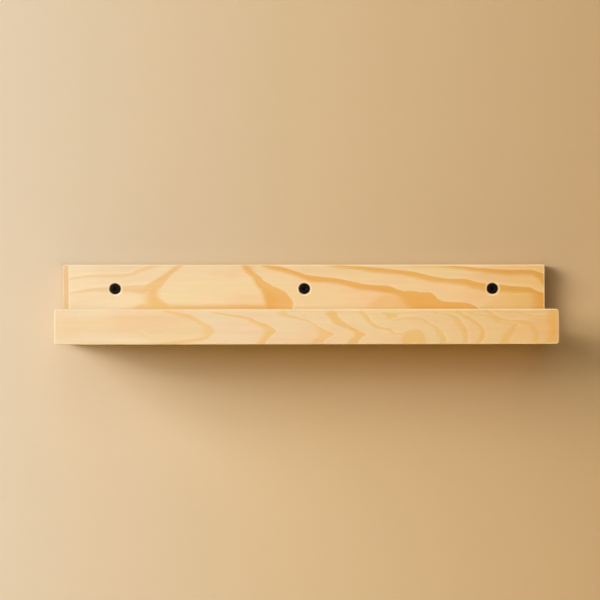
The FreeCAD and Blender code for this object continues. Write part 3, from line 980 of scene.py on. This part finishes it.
# Colours of early and late wood by place along each board
BACK_BASE = {-225: (228, 210, 175), 0: (232, 206, 157), 150: (237, 205, 150), 225: (238, 195, 122)}
BACK_LATE = {-225: (222, 184, 121), -45: (224, 175, 93), 150: (230, 177, 90), 225: (226, 165, 76)}
RAIL_BASE = {-225: (228, 207, 173), -60: (232, 206, 169), 30: (235, 206, 161), 225: (234, 192, 129)}
RAIL_LATE = {-225: (226, 188, 124), -40: (230, 189, 117), 100: (234, 189, 117), 225: (232, 183, 106)}
SHELF_BASE = {-225: (233, 206, 168), 0: (235, 205, 157), 225: (234, 194, 131)}
SHELF_LATE = {-225: (226, 181, 118), 0: (225, 176, 100), 225: (224, 168, 86)}

back_board = Board("back_board", across=(-48.0, 48.0))
back_pine = pine(
    "back_board_pine",
    back_board,
    BACK_BASE,
    BACK_LATE,
    rings={"pith": (190.0, 4.0), "tilt": 0.022, "spacing": 2.9},
    draw=back_board_figure,
    seed=1.0,
    screws=screw_places,
    bevel=6.0,
    # painted shade over the shelf, darker towards the bottom of the back board
    corner_shade=((16.0, -2.0, 0.955), (-1.0, -6.0, 0.9)),
)
dress("back_board", back_pine)
rail_pine = pine(
    "front_rail_pine",
    Board("front_rail", across=(-42.0, 2.0)),
    RAIL_BASE,
    RAIL_LATE,
    rings={"pith": (-48.0, -17.0), "tilt": -0.024, "spacing": 3.8},
    draw=rail_figure,
    seed=2.0,
)
dress("front_rail", rail_pine)
shelf_pine = pine(
    "shelf_board_pine",
    Board("shelf_board"),
    SHELF_BASE,
    SHELF_LATE,
    rings={"pith": (-46.0, -66.0), "tilt": 0.034, "spacing": 4.4},
    seed=3.0,
)
dress("shelf_board", shelf_pine)
beech_wood = beech("dowel_beech")
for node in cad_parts:
    if "dowel" in node:
        dress(node, beech_wood)

# ---- Wall, floor and world ----

WALL_GAP = 0.3  # the wall stands this far behind the back board's rear face
OPENING_INSET = 0.5  # its opening is smaller than the back board by this much all round
WALL_HALF_WIDTH = 1600.0
WALL_TOP = 2400.0
FLOOR_LEVEL = -1400.0
FLOOR_DEPTH = 5000.0
RACK_HALF_HEIGHT = 36.25

ROOM_LIGHT = 0.03
ROOM_TINT = (255, 238, 196)
BACKDROP = (228, 212, 190)

# The wall's paint by place along x, with painted falloff that warms and darkens it towards the right,
# and painted shade:
# darker right beside the rack, darker higher up the wall, and darker at its far left, which glares in a
# view from the side
WALL_PAINT_AND_FALLOFF = {-290: (210, 193, 169), 0: (210, 183, 144), 290: (204, 171, 127)}
SHADE_BESIDE_RACK = ((0.0, 4.5, 0.91, 1.0), (0.0, 12.0, 0.94, 1.0))
SHADE_UP_THE_WALL = (225.0, -240.0, 0.96, 1.005)
SHADE_FAR_LEFT = (-1600.0, -420.0, 0.35, 1.0)

# The floor's paint: the light it throws back is warmer than what the camera sees
FLOOR_CLOUD = (0.002, 0.002, 0.002)
FLOOR_WARM = (colour(234, 205, 132), colour(239, 212, 140))
FLOOR_PALE = (colour(220, 204, 182), colour(226, 210, 188))
UNLIT_BEHIND = (-100.0, 100.0, 0.0, 0.8)
UNLIT_FAR = (1200.0, 2600.0, 0.0, 0.5)


def add_stage(name, mesh, material):
    """A piece of scenery."""
    mesh.materials.append(material)
    made = bpy.data.objects.new(name, mesh)
    bpy.context.scene.collection.objects.link(made)


def plane_with_opening(name, outer, inner, y):
    """An upright plane with a rectangular opening; outer and inner are x and z spans."""
    (x_low, x_high), (z_low, z_high) = outer
    (hole_left, hole_right), (hole_bottom, hole_top) = inner
    columns = (x_low, hole_left, hole_right, x_high)
    rows = (z_low, hole_bottom, hole_top, z_high)
    bm = bmesh.new()
    grid = [[bm.verts.new((x * MM, y * MM, z * MM)) for z in rows] for x in columns]
    for i in range(3):
        for j in range(3):
            if (i, j) == (1, 1):
                continue
            bm.faces.new((grid[i][j], grid[i + 1][j], grid[i + 1][j + 1], grid[i][j + 1]))
    mesh = bpy.data.meshes.new(name)
    bm.to_mesh(mesh)
    bm.free()
    return mesh


def wall_paint():
    """Matt tan wall paint, seen from the room only: the camera looks through its back."""
    material, graph, shader = new_material("wall_paint")
    x, _, z = object_place(graph)[1]
    aside = graph.math("SUBTRACT", graph.away(x, back_board.middle[0]), back_board.half[0])
    above = graph.math("SUBTRACT", graph.math("ABSOLUTE", z), RACK_HALF_HEIGHT)
    gap = graph.length(graph.largest(aside, 0.0), graph.largest(above, 0.0))
    # painted shade beside the rack, higher up the wall and at the far left
    contact_shade = [graph.ease(gap, *shade) for shade in SHADE_BESIDE_RACK]
    tone = graph.product(*contact_shade, graph.scale(z, *SHADE_UP_THE_WALL), graph.ease(x, *SHADE_FAR_LEFT))
    paint = graph.darken(graph.by_place(x, WALL_PAINT_AND_FALLOFF), tone)
    graph.fill(shader, {"Base Color": paint, "Roughness": 0.9, "Specular IOR Level": 0.1})
    behind = graph.add("NewGeometry").outputs["Backfacing"]
    seen = graph.add("LightPath").outputs["Is Camera Ray"]
    clear = graph.add("BsdfTransparent")
    mixed = graph.mix_shaders(graph.product(behind, seen), shader, clear)
    output = next(node for node in graph.tree.nodes if node.type == "OUTPUT_MATERIAL")
    graph.feed(output.inputs[0], mixed)
    return material


def floor_paint():
    """Pale matt floor, which throws a warmer light back than it shows."""
    material, graph, shader = new_material("floor_paint")
    place, (x, y, _) = object_place(graph)
    cloud = graph.noise(place, FLOOR_CLOUD, detail=3.0)
    path = graph.add("LightPath").outputs
    seen = graph.largest(path["Is Camera Ray"], path["Is Glossy Ray"], path["Is Transmission Ray"])
    paint = graph.mix(seen, graph.mix(cloud, *FLOOR_WARM), graph.mix(cloud, *FLOOR_PALE))
    graph.fill(shader, {"Base Color": paint, "Roughness": 0.8})
    # little light reaches the floor behind the wall and past the lamps: it is shown pale
    far = graph.ease(graph.length(x, y), *UNLIT_FAR)
    unlit = graph.largest(graph.ease(y, *UNLIT_BEHIND), far)
    shown = graph.product(seen, unlit)
    graph.fill(shader, {"Emission Color": colour(*BACKDROP), "Emission Strength": shown})
    return material


opening = (
    (back_board.low[0] + OPENING_INSET, back_board.high[0] - OPENING_INSET),
    (back_board.low[2] + OPENING_INSET, back_board.high[2] - OPENING_INSET),
)
wall_outline = ((-WALL_HALF_WIDTH, WALL_HALF_WIDTH), (FLOOR_LEVEL, WALL_TOP))
add_stage("wall", plane_with_opening("wall", wall_outline, opening, WALL_GAP), wall_paint())

floor_mesh = bpy.data.meshes.new("floor")
floor_corners = [
    (side_x * WALL_HALF_WIDTH * MM, side_y * FLOOR_DEPTH * MM, FLOOR_LEVEL * MM)
    for side_x, side_y in ((-1, -1), (1, -1), (1, 1), (-1, 1))
]
floor_mesh.from_pydata(floor_corners, [], [(0, 1, 2, 3)])
add_stage("floor", floor_mesh, floor_paint())


def room_world():
    """Soft light from all round; the camera sees a plain pale backdrop instead."""
    world = bpy.data.worlds.new("room")
    world.use_nodes = True
    tree = world.node_tree
    tree.nodes.clear()
    graph = Graph(tree)
    light = graph.add("Background", {"Color": colour(*ROOM_TINT), "Strength": ROOM_LIGHT})
    backdrop = graph.add("Background", {"Color": colour(*BACKDROP), "Strength": 1.0})
    seen = graph.add("LightPath").outputs["Is Camera Ray"]
    output = graph.add("OutputWorld")
    graph.feed(output.inputs[0], graph.mix_shaders(seen, light, backdrop))
    bpy.context.scene.world = world


room_world()

# ---- Light and camera ----


def aim(thing, target):
    """Points a lamp or camera at a place."""
    direction = Vector(target) - thing.location
    thing.rotation_euler = direction.to_track_quat("-Z", "Y").to_euler()


LAMP_TARGET = (0.0, -0.05, 0.0)


def soft_lamp(name, azimuth, elevation, distance, width, height, power):
    """A flat lamp; azimuth 0 is in front of the rack and 90 to its right, in metres."""
    data = bpy.data.lights.new(name, "AREA")
    data.shape = "RECTANGLE"
    data.size = width
    data.size_y = height
    data.energy = power
    lamp = bpy.data.objects.new(name, data)
    lamp.visible_camera = False
    side = math.radians(azimuth)
    up = math.radians(elevation)
    lamp.location = (
        distance * math.sin(side) * math.cos(up),
        -distance * math.cos(side) * math.cos(up),
        distance * math.sin(up),
    )
    bpy.context.scene.collection.objects.link(lamp)
    aim(lamp, LAMP_TARGET)


soft_lamp("key_low", azimuth=-51, elevation=8, distance=3.6, width=2.1, height=0.9, power=86)
soft_lamp("key_side", azimuth=-65, elevation=22, distance=3.6, width=2.0, height=1.4, power=107)
soft_lamp("front_fill", azimuth=-12, elevation=28, distance=3.6, width=2.5, height=1.8, power=28)
soft_lamp("side_fill", azimuth=88, elevation=10, distance=2.6, width=0.16, height=1.6, power=12)
soft_lamp("rear_fill", azimuth=165, elevation=28, distance=2.6, width=1.8, height=1.5, power=46)

CAMERA_PLACE = (-0.0602, -1.8864, 0.0033)
CAMERA_TARGET = (-0.0067, -0.100, 0.0033)
CAMERA_LENS = 120.5
CAMERA_SENSOR = 36.0
CAMERA_ROLL = -0.065

camera_data = bpy.data.cameras.new("camera")
camera_data.lens = CAMERA_LENS
camera_data.sensor_width = CAMERA_SENSOR
camera = bpy.data.objects.new("camera", camera_data)
camera.location = CAMERA_PLACE
bpy.context.scene.collection.objects.link(camera)
aim(camera, CAMERA_TARGET)
camera.rotation_euler.rotate_axis("Z", math.radians(CAMERA_ROLL))
bpy.context.scene.camera = camera
bpy.context.scene.view_settings.view_transform = "Standard"
